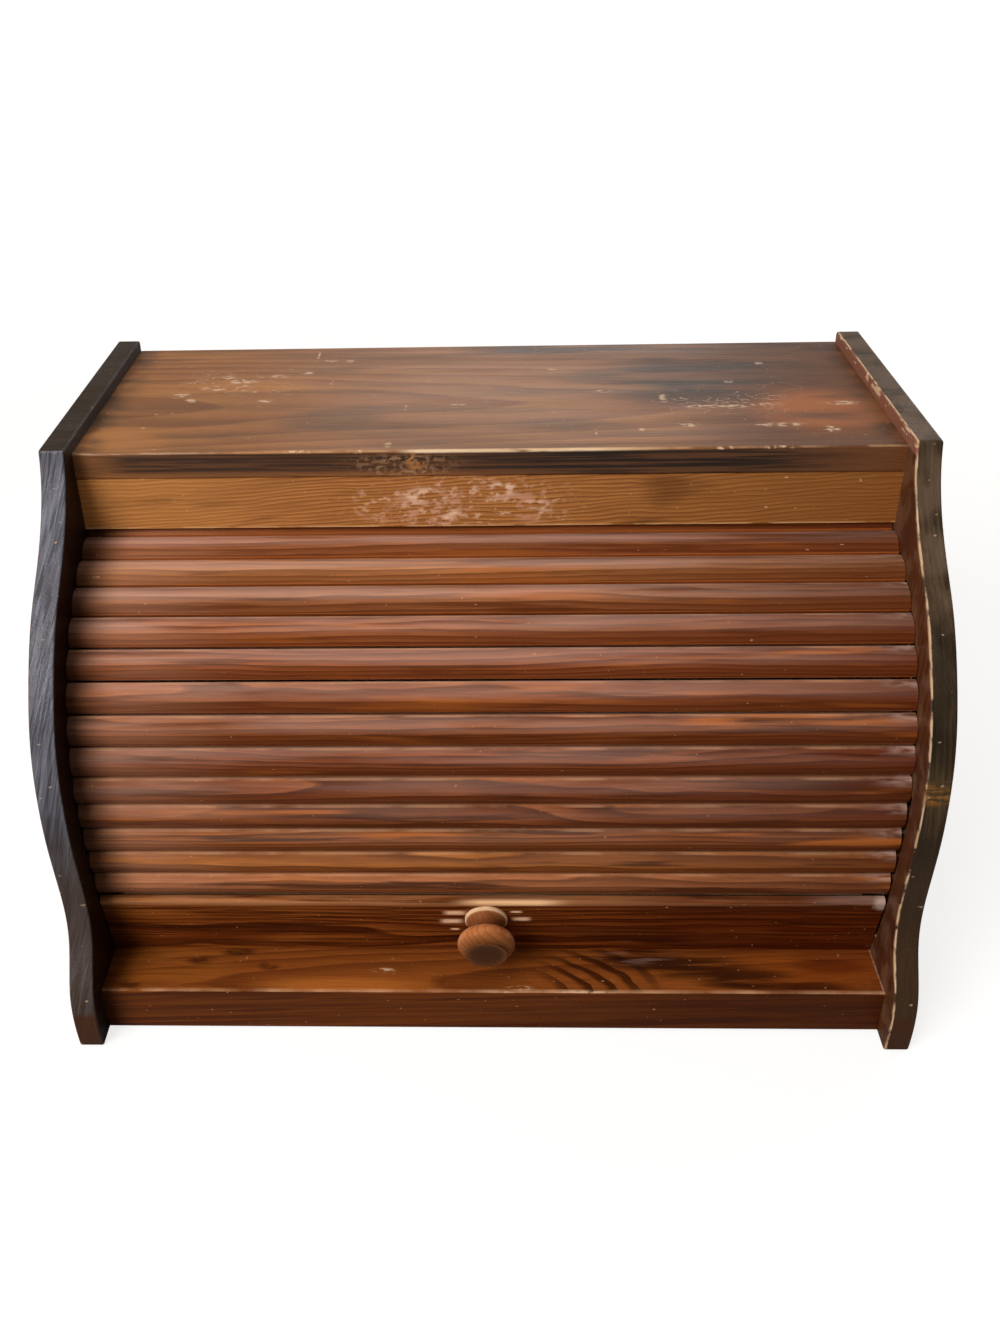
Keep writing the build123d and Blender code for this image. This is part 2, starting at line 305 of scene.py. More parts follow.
# %% Top board's scuffs
scratches(top, "#D8B492", 0.6, (50, 70, 60), 0.004, face, patches(top, (9, 30, 9), 0.6, 0.65))
wear(top, "#D2A67E", 0.6, face, patches(top, (260, 520, 260), 0.75, 0.78, detail=1.0))
torn = patches(top, (230, 420, 230), 0.42, 0.6, detail=4.0)
scuff_level = 0.3193
scuffs = (
    (-0.1065, 0.13, 0.0012, 0.014), (-0.098, 0.123, 0.006, 0.003), (-0.086, 0.122, 0.004, 0.004),
    (-0.158, 0.096, 0.006, 0.004), (-0.127, 0.097, 0.007, 0.004), (-0.149, 0.089, 0.012, 0.005),
    (-0.161, 0.076, 0.006, 0.003), (-0.17, 0.078, 0.005, 0.003), (-0.183, 0.067, 0.007, 0.006),
    (-0.174, 0.059, 0.006, 0.004), (-0.129, 0.057, 0.007, 0.003), (-0.136, 0.09, 0.005, 0.003),
    (-0.11, 0.102, 0.005, 0.003), (-0.046, 0.044, 0.0012, 0.006), (-0.016, 0.048, 0.007, 0.0014),
    (0.104, 0.054, 0.0035, 0.009), (0.125, 0.041, 0.017, 0.0035), (0.143, 0.041, 0.012, 0.003),
    (0.158, 0.043, 0.012, 0.0025), (0.204, 0.044, 0.016, 0.004), (0.163, 0.014, 0.02, 0.0035),
    (0.146, 0.079, 0.004, 0.003), (0.17, 0.109, 0.005, 0.003), (0.04, 0.103, 0.006, 0.002),
    (0.07, 0.066, 0.007, 0.003), (0.061, 0.007, 0.0012, 0.006), (0.087, 0.009, 0.003, 0.003),
    (0.113, 0.015, 0.008, 0.005), (0.19, 0.007, 0.006, 0.006), (-0.053, -0.008, 0.003, 0.005),
)
for x, y, half_long, half_deep in scuffs:
    wear(top, "#D8B898", 0.8, spot(top, (x, y, scuff_level), (half_long, half_deep, 0.004)), torn)
for x, y, half_long, half_deep in (0.135, 0.048, 0.06, 0.026), (-0.15, 0.085, 0.05, 0.035):
    zone = spot(top, (x, y, scuff_level), (half_long, half_deep, 0.01))
    dragged = patches(top, (40, 90, 40), 0.47, 0.52, seed=x)
    scratches(top, "#D9BBA0", 0.7, (70, 150, 70), 0.014, zone, dragged, seed=x * 9)
print("scuffs", len(scuffs))

# %% [markdown]
# The upper corner of the front edge is rubbed to bare wood: a long cream line about the middle,
# a thinner tan one all along, and a few chips. Left of the middle the edge itself is scuffed
# round an orange mark, and further right it is nearly black.

# %% Top board's front edge
corner = beyond(top, Y, -0.0138, -0.0148)
nicked = patches(top, (300, 100, 420), 0.46, 0.6)
upper = stripe(top, Z, 0.3185, 0.0013)
middle = beyond(top, X, -0.05, -0.035), beyond(top, X, 0.11, 0.05)
broken = patches(top, (45, 5, 500), 0.3, 0.46, detail=4.0)
wear(top, "#EBCBA2", 0.9, corner, upper, *middle, broken)
thin_line = stripe(top, Z, 0.3189, 0.0006), patches(top, (40, 5, 5), 0.42, 0.6, detail=4.0)
wear(top, "#CC9C70", 0.5, corner, *thin_line)
for x, half_long in (-0.102, 0.009), (-0.07, 0.006), (0.157, 0.01), (0.128, 0.006):
    chip = spot(top, (x, -0.0155, 0.3188), (half_long, 0.004, 0.0014))
    wear(top, "#E2BE96", 0.8, corner, chip, nicked)
scuffed = spot(top, (-0.045, board_front, 0.311), (0.04, 0.004, 0.009))
wear(top, "#B98E66", 0.5, *front_edge, scuffed, nicked)
orange = spot(top, (-0.038, board_front, 0.313), (0.007, 0.004, 0.009))
ragged = patches(top, (210, 60, 160), 0.5, 0.56, detail=3.0)
wear(top, "#B4763A", 0.9, *front_edge, orange, ragged)
paint(top, "#160A04", 0.8, *front_edge, spot(top, (0.1, board_front, 0.311), (0.13, 0.01, 0.02)))
streaks = patches(top, (12, 60, 620), 0.44, 0.6, "whole", detail=3.0)
paint(top, "#6E4220", 0.55, *front_edge, streaks)
varnish(top, 0.34, 0.5, "top_board")

# %% [markdown]
# The valance hangs under the top board's front edge. It is lighter, honey coloured, with close
# grain that climbs a little, and its varnish is rubbed off left of the middle, where hands and
# the lid's knob touched it: there pale pinkish wood shows in torn patches.

# %% Valance
valance = pine(
    "stained_pine_valance",
    place=(0, -0.01, 0.288),
    turn=(0, radians(-3.2), 0),
    heart=(0, 0.012, 0.044),
    ring=0.0023,
    tones=("#BE7E42", "#A86A36", "#7E4A24"),
    blotch="#74421C",
    blotch_share=0.45,
    fibre=0.35,
    lumps=(9, 26, 26),
)


def on_valance(x, z, half_long, half_high):
    """A spot on the valance's front face."""
    return spot(valance, (x, board_front, z), (half_long, 0.02, half_high))


paint(valance, "#7A4818", 0.6, beyond(valance, X, 0.0, 0.21))
# The left part is painted lighter, painted light that makes up for the shadow of the left panel.
paint(valance, "#CC8C4C", 0.35, beyond(valance, X, -0.06, -0.2))
paint(valance, "#5A3414", 0.6, patches(valance, (12, 50, 50), 0.56, 0.7, seed=2.2))
torn = patches(valance, (130, 100, 220), 0.44, 0.6, detail=8.0)
for scuff in (
    (-0.03, 0.286, 0.03, 0.016), (-0.022, 0.277, 0.018, 0.007), (0.01, 0.294, 0.026, 0.008),
    (0.026, 0.283, 0.016, 0.01), (-0.055, 0.28, 0.018, 0.005),
):
    wear(valance, "#D8A488", 0.55, on_valance(*scuff), torn)
chips = patches(valance, (260, 100, 420), 0.56, 0.64, detail=4.0)
wear(valance, "#DDB090", 0.6, on_valance(-0.015, 0.287, 0.085, 0.022), chips)
for scuff in (
    (-0.019, 0.279, 0.007, 0.006), (0.009, 0.296, 0.012, 0.006), (0.03, 0.284, 0.006, 0.006),
    (-0.036, 0.292, 0.01, 0.006),
):
    wear(valance, "#E6BE9E", 0.75, on_valance(*scuff), torn)
lower_edge = stripe(valance, Z, 0.2732, 0.0012)
wear(valance, "#D09A66", 0.7, lower_edge, patches(valance, (30, 5, 5), 0.42, 0.5))
wear(valance, "#D2A67E", 0.6, patches(valance, (260, 100, 420), 0.76, 0.79, detail=1.0))
varnish(valance, 0.4, 0.2, "valance_board")

# %% [markdown]
# The side panels are cut from boards with upright grain. Their broad faces are brown, and the
# flowing front edge is almost black brown, because cut fibres drink the stain: it shows fine
# slanted streaks where the saw crossed the grain. On the left edge the grey blue tint is a painted
# reflection of a cool window. The inner faces lie 0.225 m left and right of the middle, and the
# left one is painted almost black, a painted shade.

# %% Side panels' colours
left = {
    "side": -1, "seed": 0.0, "slant": -14, "tint": "#5E5F68", "deep": "#2A282A", "pale": "#868894",
    "inside": "#0A0301", "inside_share": 0.92, "upper_end": "#36240F", "rubbed_from": 0.6,
}
right = {
    "side": 1, "seed": 0.37, "slant": 3, "tint": "#40331F", "deep": "#1C140A", "pale": "#584A34",
    "inside": "#42200F", "inside_share": 0.75, "upper_end": "#4E3820", "rubbed_from": 0.45,
}


def sawn_edge(panel, edge, look):
    """Colours the sawn edge dark with its tint, a painted reflection on the left panel, with fine
    slanted streaks, and its upper end by itself.
    """
    seed, deep = look["seed"], look["deep"]
    slant = {"Vector": panel["whole"], "Rotation": (0, radians(look["slant"]), 0)}
    panel["slant"] = add(panel["tree"], "ShaderNodeMapping", slant).outputs[0]
    # The edge's tint; on the left panel it is a grey blue painted reflection of a cool window.
    paint(panel, look["tint"], 0.92, edge)
    paint(panel, deep, 0.7, edge, patches(panel, (640, 60, 26), 0.42, 0.62, "slant", seed))
    light = patches(panel, (760, 60, 30), 0.52, 0.68, "slant", seed + 3)
    paint(panel, look["pale"], 0.5, edge, light)
    paint(panel, deep, 0.75, edge, patches(panel, (14, 14, 14), 0.46, 0.62, "whole", seed))
    paint(panel, "#3C2816", 0.75, edge, beyond(panel, Z, 0.17, 0.1))
    paint(panel, "#44220C", 0.9, edge, beyond(panel, Z, 0.03, 0.024))
    upward = facing(panel, Z, 0.75, 0.9)
    paint(panel, look["upper_end"], 0.9, edge, upward)
    paint(panel, "#241808", 0.6, upward, patches(panel, (30, 420, 60), 0.42, 0.6, "whole"))


print("side panels' colours ready")

# %% [markdown]
# The right panel is the more worn one. The corner where its inner face meets the front edge is
# rubbed to a broken pale line, its top is chipped, and its edge holds one amber knot.

# %% Side panels


def right_wear(panel, edge, inner):
    """The right panel's lighter upper edge, its knot, its worn corner and its chipped top."""
    brushed = patches(panel, (60, 60, 26), 0.3, 0.6, "slant")
    paint(panel, "#7A6250", 0.42, edge, beyond(panel, Z, 0.2, 0.29), brushed)
    knot = spot(panel, (0.232, -0.126, 0.172), (0.02, 0.034, 0.009))
    paint(panel, "#9A6226", 0.8, edge, knot, patches(panel, (90, 60, 260), 0.35, 0.6, "whole"))
    paint(panel, "#96604A", 0.7, inner, beyond(panel, Z, 0.3185, 0.3195))
    broken = patches(panel, (80, 80, 80), 0.42, 0.56, "whole", detail=5.0)
    line = stripe(panel, X, 0.2257, 0.0009)
    wear(panel, "#E0C09A", 0.8, line, broken, edge, beyond(panel, Y, 0.146, 0.14))
    chips = patches(panel, (60, 90, 260), 0.55, 0.62, "whole", detail=4.0)
    wear(panel, "#D8B48E", 0.8, inner, beyond(panel, Z, 0.3215, 0.3235), chips)


for node, look in ("left_side_panel", left), ("right_side_panel", right):
    side, seed = look["side"], look["seed"]
    panel = pine(
        "stained_pine_" + node,
        place=(side * 0.232, 0, 0.16),
        turn=(0, radians(90), 0),
        heart=(seed, 0.05 + seed * 0.2, 0.028 * side),
        ring=0.0042,
        tones=("#8A5434", "#724228", "#4E2A16"),
        blotch="#3A2012",
        blotch_share=0.55,
    )
    edge = facing(panel, X, 0.75, 0.4)
    inner = beyond(panel, X, side * 0.2265, side * 0.2255)
    # The inner face's colour; on the left it is almost black, a painted shade.
    paint(panel, look["inside"], look["inside_share"], inner)
    sawn_edge(panel, edge, look)
    if look is right:
        right_wear(panel, edge, inner)
    rubbed = patches(panel, (20, 60, 60), look["rubbed_from"], 0.6, "whole", 0.7)
    line = stripe(panel, X, side * 0.2256, 0.0007)
    wear(panel, "#C9A07A", 0.8, line, rubbed, beyond(panel, Y, 0, -0.02))
    zone = patches(panel, (12, 18, 12), 0.66, 0.7)
    scratches(panel, "#A58468", 0.7, (60, 80, 50), 0.005, zone, seed=seed)
    wear(panel, "#B99A80", 0.6, edge, patches(panel, (420, 260, 260), 0.74, 0.77, detail=1.0))
    varnish(panel, 0.4, 0.2, node)

# %% [markdown]
# The front sill is a thick plank on which the lid closes. Its upper face is plain on the left,
# with an amber zone and a few small dark knots. Right of the middle the rings run out in dark
# blades, and beyond them a dark streak crosses to the front edge.

# %% Front sill
sill_face = 0.031
sill = pine(
    "stained_pine_sill",
    place=(0, -0.105, 0.03),
    turn=(0, radians(-2), 0),
    heart=(-0.09, 0.012, 0.02),
    ring=0.004,
    tones=("#8E4C1E", "#7E4218", "#683314"),
    blotch="#52280E",
    fibre=0.35,
)


def on_sill(x, y, half_long, half_deep):
    """A spot on the sill's upper face."""
    return spot(sill, (x, y, sill_face), (half_long, half_deep, 0.01))


def arches(wood, centre, stretch, ring):
    """1 on the dark late wood where rings run out of a face in arches about a centre."""
    tree = wood["tree"]
    moved = {0: wood["whole"], 1: centre}
    moved = add(tree, "ShaderNodeVectorMath", moved, operation="SUBTRACT").outputs[0]
    drawn = {0: moved, 1: stretch}
    drawn = add(tree, "ShaderNodeVectorMath", drawn, operation="DIVIDE").outputs[0]
    shake = {"Vector": drawn, "Scale": 60.0, "Detail": 2.0}
    shake = add(tree, "ShaderNodeTexNoise", shake).outputs["Color"]
    sway = {0: shake, 1: (0.006, 0.006, 0), 2: drawn}
    grain = add(tree, "ShaderNodeVectorMath", sway, operation="MULTIPLY_ADD").outputs[0]
    wave = {"Vector": grain, "Scale": texture_ring / ring, "Distortion": 0.0}
    shape = {"wave_type": "RINGS", "rings_direction": "Z", "wave_profile": "SAW"}
    wave = add(tree, "ShaderNodeTexWave", wave, **shape)
    late = {"Value": wave.outputs["Fac"], "From Min": 0.4, "From Max": 0.75}
    late = add(tree, "ShaderNodeMapRange", late, interpolation_type="SMOOTHSTEP")
    return late.outputs["Result"]


face = beyond(sill, Z, 0.0302, 0.0308)
dusky = patches(sill, (9, 260, 9), 0.35, 0.6)
paint(sill, "#9A5A1E", 0.6, face, on_sill(-0.19, -0.112, 0.05, 0.02), dusky)
paint(sill, "#B06428", 0.8, face, on_sill(-0.085, -0.127, 0.066, 0.009))
honey = patches(sill, (12, 120, 9), 0.3, 0.6)
paint(sill, "#A8541A", 0.75, face, on_sill(0.19, -0.112, 0.06, 0.022), honey)
paint(sill, "#5E1E08", 0.6, face, on_sill(0.2, -0.111, 0.03, 0.008))
blades = arches(sill, (-0.012, -0.136, sill_face), (2.1, 1, 1), 0.0064)
paint(sill, "#2E1206", 0.85, face, on_sill(0.064, -0.118, 0.046, 0.03), blades)
streaky = patches(sill, (14, 190, 9), 0.38, 0.55, seed=0.8, detail=3.0)
for x, y, half_long in (
    (0.085, -0.104, 0.035), (0.115, -0.112, 0.045), (0.15, -0.121, 0.04), (0.185, -0.129, 0.03),
):
    paint(sill, "#2A1208", 0.85, face, on_sill(x, y, half_long, 0.0115), streaky)
knotty = patches(sill, (60, 200, 9), 0.35, 0.55)
for x, y, half_long in (
    (-0.171, -0.108, 0.012), (-0.13, -0.112, 0.009), (-0.21, -0.126, 0.009), (-0.15, -0.101, 0.014),
):
    paint(sill, "#2E1408", 0.75, face, on_sill(x, y, half_long, 0.0045), knotty)
dusty = patches(sill, (30, 420, 9), 0.5, 0.6)
paint(sill, "#9A7464", 0.35, face, on_sill(0.085, -0.105, 0.03, 0.007), dusty)
print("sill stained")

# %% [markdown]
# Below, the sill's front is darker, most of all to the right. Its upper corner is worn to a
# thin broken pale line, and a few scuffs lie on the face where the lid is set down.

# %% Front sill's wear
front = beyond(sill, Y, -0.1302, -0.131)
paint(sill, "#4E2208", 0.6, front)
paint(sill, "#3A1606", 0.55, beyond(sill, X, -0.05, 0.2), front)
paint(sill, "#4A1A08", 0.4, beyond(sill, X, 0.1, 0.22), face)
# Painted shadow of the left panel over the sill's left end.
paint(sill, "#1E0A04", 0.5, beyond(sill, X, -0.208, -0.224))
paint(sill, "#32120A", 0.5, front, patches(sill, (10, 60, 320), 0.46, 0.62, detail=3.0))
corner = beyond(sill, Y, -0.1285, -0.1295), stripe(sill, Z, 0.0308, 0.0004)
wear(sill, "#D8A67C", 0.6, *corner, patches(sill, (38, 5, 5), 0.3, 0.66, detail=7.0))
right_end = stripe(sill, X, 0.2255, 0.0016)
wear(sill, "#B9957E", 0.8, face, right_end, patches(sill, (60, 120, 60), 0.35, 0.5, "whole"))
wear(sill, "#B98A64", 0.6, patches(sill, (300, 420, 420), 0.75, 0.78, detail=1.0))
torn = patches(sill, (160, 330, 9), 0.4, 0.55)
for x, y, half_long in (
    (-0.062, -0.115, 0.009), (0.018, -0.128, 0.01), (0.008, -0.132, 0.012), (0.055, -0.131, 0.02),
):
    wear(sill, "#D8B492", 0.8, face, on_sill(x, y, half_long, 0.0022), torn)
varnish(sill, 0.34, 0.2, "front_sill", amber="#E0A070")

# %% [markdown]
# The lift rail is the flat board that a hand pulls the lid up by. It is the darkest and
# reddest piece, orange brown on the left and almost black red on the right, with many fine
# wavy dark lines. It leans out by 11.29 degrees, so its own axes lean too: Y runs up its front
# face and Z comes out of it.

# %% Lift rail
lean = radians(11.29)
rail_place, rail_turn = (0, -0.0968, 0.0573), (radians(90) + lean, 0, 0)
rail = pine(
    "stained_pine_rail",
    place=rail_place,
    turn=rail_turn,
    heart=(0.05, 0.006, 0.022),
    ring=0.0026,
    tones=("#8E4A1C", "#6E3210", "#421806"),
    blotch="#4A1C08",
    fibre=0.3,
)
paint(rail, "#A05A22", 0.5, beyond(rail, X, -0.02, -0.15), patches(rail, (7, 60, 60), 0.4, 0.6))
paint(rail, "#4A1404", 0.65, beyond(rail, X, 0.0, 0.14))
paint(rail, "#2A0C02", 0.7, patches(rail, (14, 480, 480), 0.5, 0.62, seed=0.9, detail=2.0))
# Painted shadow of the left panel over the rail's left end.
paint(rail, "#1E0A04", 0.5, beyond(rail, X, -0.2, -0.224))
paint(rail, "#34180A", 0.35, patches(rail, (6, 110, 110), 0.54, 0.64, seed=2.9))
print("lift rail stained")

# %% [markdown]
# The rail's rounded upper shoulder carries a light band, partly wear from hands and partly a
# painted highlight where it catches the light, and it is rubbed to bare wood above the knob. Round
# the knob fingers chipped the varnish off in small boxy flakes. Each row gives a flake's middle, to
# the right and up the face, and half its size.

# %% Lift rail's wear
shoulder = beyond(rail, Y, 0.0186, 0.0202, "own"), beyond(rail, X, 0.24, -0.04)
# A light band along the shoulder, partly wear and partly a painted highlight.
paint(rail, "#B0764C", 0.8, *shoulder, patches(rail, (12, 620, 60), 0.25, 0.6, detail=3.0))
crest = stripe(rail, Y, 0.0207, 0.0012, "own")
paint(rail, "#8E5A3C", 0.5, crest, patches(rail, (20, 200, 60), 0.3, 0.55))
right_end = beyond(rail, Y, 0.0204, 0.0216, "own"), beyond(rail, X, 0.17, 0.22)
paint(rail, "#B89484", 0.5, *right_end, patches(rail, (12, 200, 60), 0.3, 0.6))
ragged = patches(rail, (50, 700, 60), 0.22, 0.36, detail=4.0)
wear(rail, "#CCAE9C", 0.7, spot(rail, (0.2235, 0.021, 0.006), (0.007, 0.007, 0.01), "own"), ragged)
above_knob = spot(rail, (0.0125, 0.0212, 0.006), (0.043, 0.02, 0.02), "own")
rubbed = stripe(rail, Y, 0.0214, 0.0027, "own")
wear(rail, "#F2BE8C", 1.0, rubbed, above_knob, above_knob, ragged)
torn = patches(rail, (160, 620, 300), 0.3, 0.42, detail=4.0)
front = beyond(rail, Z, 0.0056, 0.0062, "own")
flakes = (
    (-0.0195, 0.0122, 0.0085, 0.0028), (-0.0215, 0.0038, 0.0085, 0.003),
    (-0.0198, -0.0044, 0.0035, 0.0013), (0.0158, 0.0132, 0.0045, 0.0014),
    (0.019, 0.0061, 0.0068, 0.0027),
)
for x, up, half_long, half_high in flakes:
    flake = stripe(rail, X, x, half_long), stripe(rail, Y, up, half_high, "own")
    wear(rail, "#F2C09A", 1.0, *flake, torn, front)
wear(rail, "#D2A67E", 0.6, patches(rail, (300, 460, 460), 0.76, 0.79, detail=1.0))
varnish(rail, 0.36, 0.2, "lift_rail", amber="#E0A070")

# %% [markdown]
# The knob was turned on a lathe with the grain running through it from front to back. Its own X
# runs out along that line. Its base ring is worn pale by fingers, the neck stays dark, and the face
# is darker than the rim. The rim carries a painted highlight, and the lower half is painted darker,
# a painted shade.

# %% Knob
knob = pine(
    "turned_stained_knob",
    place=(-0.0015, -0.1046, 0.0624),
    turn=(0, lean, radians(-90)),
    heart=(0, 0.02, 0.009),
    ring=0.0034,
    tones=("#C47A48", "#B87040", "#A66034"),
    blotch="#8A4C28",
    blotch_share=0.45,
    fibre=0.2,
)
flat = {0: knob["own"], 1: (0, 1, 1)}
knob["round"] = add(knob["tree"], "ShaderNodeVectorMath", flat, operation="MULTIPLY").outputs[0]
centre = (0, 0, 0)
knob_face = spot(knob, centre, (0.0205,) * 3, "round"), beyond(knob, X, 0.0165, 0.0195, "own")
paint(knob, "#341804", 0.94, *knob_face)
neck = stripe(knob, X, 0.0062, 0.0078, "own"), spot(knob, centre, (0.0175,) * 3, "round")
paint(knob, "#4A2412", 0.85, *neck)
base_ring = beyond(knob, X, 0.0026, 0.0016, "own")
wear(knob, "#EBC49C", 0.9, base_ring, patches(knob, (60, 120, 120), 0.1, 0.35))
rim = stripe(knob, X, 0.0155, 0.0045, "own")
# A painted highlight round the rim.
paint(knob, "#D4946A", 0.6, rim, patches(knob, (60, 90, 90), 0.4, 0.6))
# Painted shade over the lower half of the knob.
paint(knob, "#5E3418", 0.6, beyond(knob, Z, 0.0, -0.013, "own"))
varnish(knob, 0.28, 0.24, "knob", amber="#D09468")

# %% [markdown]
# Canvas holds the lid together from behind. It is plain cotton weave, browned by stain and
# glue. Its threads are two crossed wave patterns, 1.6 mm apart and so coarser than real ones,
# because those would be too fine to show.

# %% Canvas
thread_spacing = 0.0016


def canvas(name, place, turn, *pieces):
    """Cotton canvas browned by stain and glue, on the axes of the slat that it is glued to."""
    made, tree = blank(name)
    whole = add(tree, "ShaderNodeTexCoord", {}).outputs["Object"]
    axes = {"Vector": whole, "Location": place, "Rotation": turn}
    own = add(tree, "ShaderNodeMapping", axes, vector_type="TEXTURE").outputs[0]
    cloth = {"tree": tree, "own": own, "colour": linear("#7C5A3A")}
    threads = {}
    for number, direction in enumerate("XY"):
        wave = {"Vector": own, "Scale": texture_ring / thread_spacing, "Distortion": 0.0}
        wave = add(tree, "ShaderNodeTexWave", wave, bands_direction=direction)
        threads[number] = wave.outputs["Fac"]
    weave = add(tree, "ShaderNodeMath", threads, operation="MULTIPLY").outputs[0]
    paint(cloth, "#A07C54", 0.8, weave)
    paint(cloth, "#54361E", 0.6, patches(cloth, (20, 60, 60), 0.45, 0.65))
    relief = {"Height": weave, "Strength": 0.6, "Distance": 0.0003}
    relief = add(tree, "ShaderNodeBump", relief).outputs["Normal"]
    skin = {"Base Color": cloth["colour"], "Roughness": 0.9, "Sheen Weight": 0.2, "Normal": relief}
    skin = add(tree, "ShaderNodeBsdfPrincipled", skin)
    add(tree, "ShaderNodeOutputMaterial", {"Surface": skin.outputs[0]})
    for piece in pieces:
        nodes[piece].material_slots[0].material = made


canvas("canvas_rail", rail_place, rail_turn, "cloth_rail")
print("canvas ready")

# %% [markdown]
# Each slat is a strip of moulding from a different plank, so each one gets its own tones and
# its own cut through the rings. The lowest slat is number 1, next to the lift rail. The flat
# faces of its end tongues, which are 9 mm high, give the place and the slant that a slat has
# when the lid is shut.

# %% Slats' tones and axes
slat_tones = (
    ("#BC7448", "#A05E38", "#6E4024"), ("#BA7032", "#9C5A26", "#683612"),
    ("#A05A2A", "#82461E", "#50280E"), ("#98562E", "#7A3E1E", "#4C220E"),
    ("#94522E", "#763C20", "#4A200E"), ("#96522E", "#783C20", "#4A200E"),
    ("#A05A30", "#804420", "#502410"), ("#AA633A", "#8A4A2A", "#582B16"),
    ("#A66038", "#864628", "#542812"), ("#B06A40", "#905030", "#5E3018"),
    ("#B27248", "#925836", "#5E3820"), ("#CE8852", "#AE6E40", "#764A28"),
    ("#AE6E48", "#905634", "#5E3018"), ("#B0683A", "#96522E", "#623418"),
    ("#B87850", "#A06640", "#6C4226"),
)
tongue_start, tongue_height = 0.229, 0.009


def slat_axes(node):
    """The middle of a slat and the turn that lays its own Y up its front."""
    ends = [v.co for v in nodes[node].data.vertices if v.co.x > tongue_start]
    middle = sum(ends, Vector()) / len(ends)
    runs = [b - a for a in ends for b in ends if (b - a).y + (b - a).z > 0.001]
    run = min(runs, key=lambda edge: abs(edge.length - tongue_height))
    return (0, middle.y, middle.z), (atan2(run.z, run.y), 0, 0)


print("the lowest slat's place and turn", slat_axes("slat_01"))

# %% [markdown]
# The upper half of each bead carries a milky, pinkish painted sheen, stronger on the higher slats
# and fainter to the right. The lower half is painted a darker orange brown, a painted shade where
# the bead turns down from the light. The walls in the gaps are painted light. The upper shoulder is
# rubbed to a thin light line. The left ends are painted dark, a painted shadow of the left panel,
# and pale dust lies on the right.

# %% Slats
half_slat = 0.00785
for number, tones in enumerate(slat_tones, 1):
    node = f"slat_{number:02d}"
    place, turn = slat_axes(node)
    slat = pine(
        "stained_pine_" + node,
        place=place,
        turn=turn,
        heart=(number * 0.61, 0.012 + number % 4 * 0.006, 0.008 + number % 3 * 0.007),
        ring=0.0024 + number % 3 * 0.0005,
        tones=tones,
        blotch=tones[2],
        blotch_share=0.35,
        fibre=0.35,
    )
    paint(slat, "#42160A", 0.62, beyond(slat, X, 0.0, 0.22))
    paint(slat, "#C06A28", 0.6, patches(slat, (7, 90, 160), 0.58, 0.7, seed=number * 1.7))
    streaks = patches(slat, (9, 190, 190), 0.55, 0.66, seed=number * 2.3, detail=4.0)
    paint(slat, "#3A1808", 0.85 if number < 8 else 0.65, streaks)
    # Below this line each bead is painted darker, a painted shade where it turns down from the
    # light.
    light_to_shade_line = 0.0008 - number * 0.0002
    paint(slat, "#5E2A0E", 0.6, beyond(slat, Y, light_to_shade_line + 0.002, light_to_shade_line - 0.004, "own"))
    # The walls in the gaps between slats are painted light orange, painted light that softens the
    # shade in the gaps.
    paint(slat, "#A85A28", 0.8, beyond(slat, Y, -half_slat, -0.0081, "own"))
    paint(slat, "#96623C", 0.6, beyond(slat, Y, half_slat, 0.0081, "own"))
    # A milky pinkish painted sheen over the upper half of each bead, stronger on the higher slats.
    painted_sheen_band = beyond(slat, Y, light_to_shade_line - 0.002, light_to_shade_line + 0.0036, "own")
    uneven_patches = patches(slat, (10, 160, 160), 0.2, 0.6, seed=number * 3.1, detail=3.0)
    paint(slat, "#D09A7E", 0.16, uneven_patches, beyond(slat, X, -0.12, -0.2))
    paint(slat, "#D0A898", min(0.4, number * 0.034), painted_sheen_band, uneven_patches, beyond(slat, X, 0.34, 0.04))
    shoulder = stripe(slat, Y, 0.0076, 0.0008, "own")
    wear(slat, "#D8A47C", 0.35, shoulder, patches(slat, (30, 40, 40), 0.38, 0.6, detail=4.0))
    # Painted shadow of the left panel over the left ends of the slat.
    paint(slat, "#1E0C05", 0.7, beyond(slat, X, -0.197, -0.222))
    dust = patches(slat, (90, 300, 300), 0.35, 0.65, seed=number, detail=4.0)
    upper = beyond(slat, Y, 0.0025, 0.0075, "own")
    wear(slat, "#C4A89A", 0.6, upper, beyond(slat, X, 0.2, 0.226), dust)
    specks = patches(slat, (340, 520, 520), 0.77, 0.8, seed=number, detail=1.0)
    wear(slat, "#C49A7A", 0.5, specks)
    varnish(slat, 0.42, 0.2, node, amber="#E0A070")
    canvas(f"canvas_{number:02d}", place, turn, f"cloth_{number:02d}")
print("slats", len(slat_tones))

# %% [markdown]
# The bottom and back boards were stained in one thin coat and left unvarnished, so they are
# plainer and duller than the rest.

# %% Bottom and back boards
for node, place, turn in (
    ("bottom_board", (0, 0.03, 0.0246), (0, radians(2), 0)),
    ("back_board", (0, 0.1412, 0.152), (radians(90), radians(2), 0)),
):
    board = pine(
        "thin_stained_pine_" + node,
        place=place,
        turn=turn,
        heart=(0.3, 0.02, 0.05),
        ring=0.005,
        tones=("#8E6038", "#7A4E2C", "#5A3820"),
        blotch="#4A3019",
        blotch_share=0.55,
        fibre=0.5,
    )
    paint(board, "#3A2616", 0.45, patches(board, (14, 14, 14), 0.55, 0.75, "whole"))
    varnish(board, 0.62, 0.25, node)

# %% [markdown]
# The nails and the knob's screw are plain steel, dulled by age and spotted with rust.

